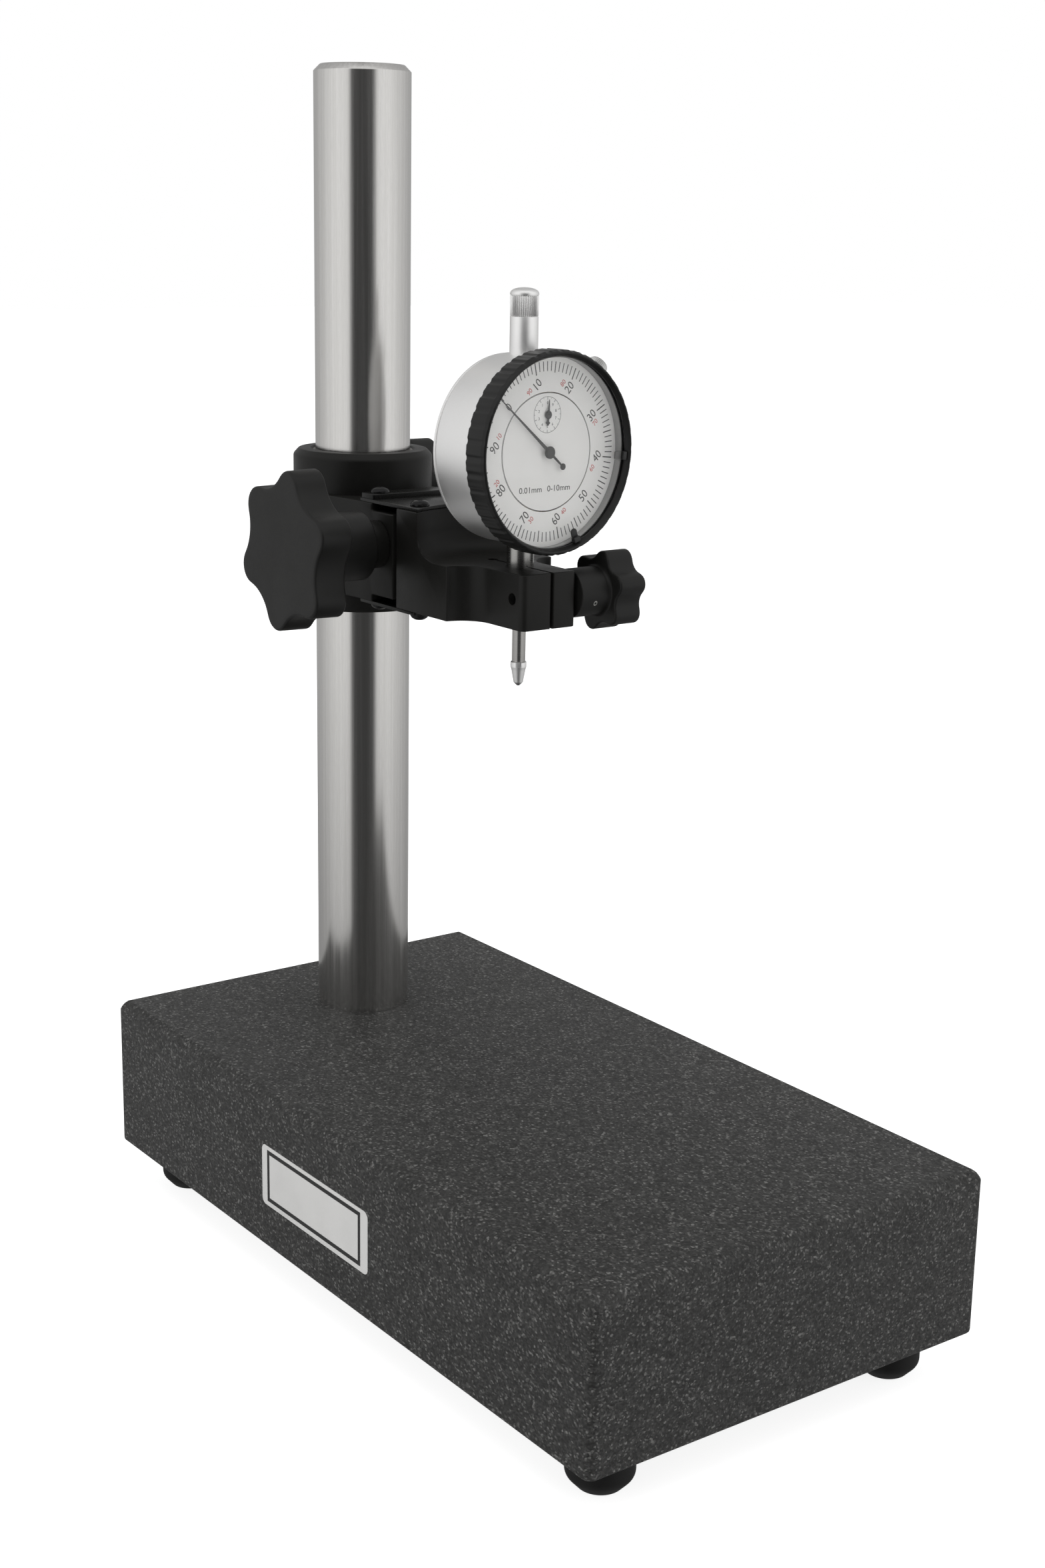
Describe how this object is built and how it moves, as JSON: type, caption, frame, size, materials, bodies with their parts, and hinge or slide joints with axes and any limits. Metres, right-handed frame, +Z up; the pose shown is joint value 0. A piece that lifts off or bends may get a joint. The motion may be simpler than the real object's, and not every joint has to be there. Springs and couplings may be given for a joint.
{
  "type": "comparator stand",
  "caption": "Bench comparator stand: granite base, steel column, clamp with leaf-spring fine adjustment and a dial gauge with plunger, turning bezel and tolerance markers.",
  "frame": {"origin": "middle of the base's footprint, on the surface that the feet stand on", "axes": "+Z up along the column, -Y to the front that the dial faces, +X to the right seen from the front"},
  "size_m": [0.14, 0.26, 0.365],
  "materials": {
    "granite": "fine-ground dark stone with pale specks",
    "foot_rubber": "matte",
    "zinc_steel": "plain turned",
    "label": "satin, black border line, blank",
    "ground_steel": "ground",
    "black_screw": "black oxide",
    "bush_plastic": "plain",
    "black_oxide": "satin black",
    "leaf_steel": "black spring steel",
    "knob_plastic": "fine texture",
    "brass": "plain",
    "satin_chrome": "satin",
    "polished_steel": "polished",
    "ball_steel": "mirror",
    "spring_blue": "blued",
    "pointer_black": "matte",
    "dial_white": "matte",
    "bezel_black": "satin",
    "crystal": "clear"
  },
  "bodies": {
    "base": {"granite_base": "granite", "feet": "foot_rubber", "foot_screws": "zinc_steel", "label_plate": "label", "column": "ground_steel", "column_bolt": "black_screw", "column_washer": "zinc_steel"},
    "bush": {"column_bush": "bush_plastic"},
    "clamp": {"clamp_body": "black_oxide", "top_leaf": "leaf_steel", "bottom_leaf": "leaf_steel", "leaf_screws_clamp": "black_screw"},
    "clamp_spacer": {"clamp_spacer": "black_oxide"},
    "clamp_knob": {"clamp_knob": "knob_plastic", "clamp_screw": "zinc_steel"},
    "fine_knob": {"fine_knob": "knob_plastic", "fine_screw": "zinc_steel", "fine_spacer": "black_oxide", "fine_clip": "black_screw"},
    "wedge": {"fine_wedge": "brass"},
    "arm": {"arm": "black_oxide", "leaf_screws_arm": "black_screw"},
    "stem_knob": {"stem_knob": "knob_plastic", "stem_screw": "zinc_steel", "stem_knob_pin": "zinc_steel"},
    "gauge": {"gauge_case": "satin_chrome", "stem": "polished_steel", "upper_sleeve": "satin_chrome", "dust_cap": "satin_chrome", "back_cover": "satin_chrome", "back_cover_screws": "zinc_steel", "movement_plate": "brass", "front_bridge": "brass", "rear_bridge": "brass", "guide_rail": "zinc_steel", "spring_post": "zinc_steel", "return_spring": "polished_steel", "inner_dial": "dial_white"},
    "bezel": {"bezel": "bezel_black", "crystal": "crystal", "outer_dial": "dial_white"},
    "marker_a": {"marker_a": "pointer_black"},
    "marker_b": {"marker_b": "pointer_black"},
    "bezel_screw": {"bezel_screw": "satin_chrome"},
    "plunger": {"plunger": "polished_steel", "contact_point": "polished_steel", "contact_ball": "ball_steel", "guide_pin": "zinc_steel"},
    "rack": {"rack_arbor": "polished_steel"},
    "counter": {"counter_arbor": "brass", "counter_pointer": "pointer_black"},
    "center": {"center_arbor": "polished_steel", "pointer": "pointer_black", "hairspring": "spring_blue"}
  },
  "joints": [
    {"name": "arm_height", "type": "slide", "parent": "base", "child": "bush", "axis": [0, 0, 1], "range_m": [-0.122, 0.114]},
    {"name": "arm_swing", "type": "hinge", "parent": "bush", "child": "clamp", "pos_m": [0, 0.0865, 0.224], "axis": [0, 0, 1], "continuous": true},
    {"name": "clamp_spacer_slide", "type": "slide", "parent": "clamp", "child": "clamp_spacer", "axis": [1, 0, 0], "range_m": [0, 0.0025]},
    {"name": "clamp_knob_turn", "type": "hinge", "parent": "clamp_spacer", "child": "clamp_knob", "pos_m": [0.025, 0.1075, 0.224], "axis": [1, 0, 0], "range_deg": [0, 720]},
    {"name": "fine_knob_turn", "type": "hinge", "parent": "clamp", "child": "fine_knob", "pos_m": [-0.03, 0.0478, 0.2245], "axis": [1, 0, 0], "range_deg": [-1440, 1440]},
    {"name": "wedge_slide", "type": "slide", "parent": "clamp", "child": "wedge", "axis": [1, 0, 0], "range_m": [-0.0041, 0.0041]},
    {"name": "arm_fine", "type": "slide", "parent": "clamp", "child": "arm", "axis": [0, 0, 1], "range_m": [-0.0005, 0.0005], "deforming": ["top_leaf", "bottom_leaf"]},
    {"name": "stem_knob_turn", "type": "hinge", "parent": "arm", "child": "stem_knob", "pos_m": [0.02, -0.0094, 0.2153], "axis": [1, 0, 0], "range_deg": [0, 540]},
    {"name": "gauge_swivel", "type": "hinge", "parent": "arm", "child": "gauge", "pos_m": [0, 0.0008, 0.2225], "axis": [0, 0, 1], "continuous": true},
    {"name": "bezel_turn", "type": "hinge", "parent": "gauge", "child": "bezel", "pos_m": [0, 0.0008, 0.2565], "axis": [0.1045, -0.9945, 0], "continuous": true},
    {"name": "marker_a_turn", "type": "hinge", "parent": "bezel", "child": "marker_a", "pos_m": [0, 0.0008, 0.2565], "axis": [0.1045, -0.9945, 0], "range_deg": [-30, 150]},
    {"name": "marker_b_turn", "type": "hinge", "parent": "bezel", "child": "marker_b", "pos_m": [0, 0.0008, 0.2565], "axis": [0.1045, -0.9945, 0], "range_deg": [-150, 30]},
    {"name": "bezel_screw_turn", "type": "hinge", "parent": "gauge", "child": "bezel_screw", "pos_m": [0.02376, -0.00133, 0.27832], "axis": [0.7273, 0.0764, 0.682], "range_deg": [0, 720]},
    {"name": "plunger_slide", "type": "slide", "parent": "gauge", "child": "plunger", "axis": [0, 0, 1], "range_m": [0, 0.01], "stiffness_N_per_m": 40, "springref_m": -0.02, "deforming": ["return_spring"]},
    {"name": "rack_turn", "type": "hinge", "parent": "gauge", "child": "rack", "pos_m": [0.00283, 0.0011, 0.26524], "axis": [0.1045, -0.9945, 0], "range_deg": [-361, 1]},
    {"name": "counter_turn", "type": "hinge", "parent": "gauge", "child": "counter", "pos_m": [0, 0.0008, 0.2669], "axis": [0.1045, -0.9945, 0], "range_deg": [-1, 361]},
    {"name": "center_turn", "type": "hinge", "parent": "gauge", "child": "center", "pos_m": [0, 0.0008, 0.2565], "axis": [0.1045, -0.9945, 0], "range_deg": [-3601, 1]}
  ],
  "couplings": [
    {"joint": "clamp_knob_turn", "follows": "clamp_spacer_slide", "rad_per_m": 5026.5},
    {"joint": "wedge_slide", "follows": "arm_fine", "ratio": -8},
    {"joint": "fine_knob_turn", "follows": "arm_fine", "rad_per_m": 50265},
    {"joint": "rack_turn", "follows": "plunger_slide", "rad_per_m": -628.32},
    {"joint": "counter_turn", "follows": "plunger_slide", "rad_per_m": 628.32},
    {"joint": "center_turn", "follows": "plunger_slide", "rad_per_m": -6283.2}
  ]
}
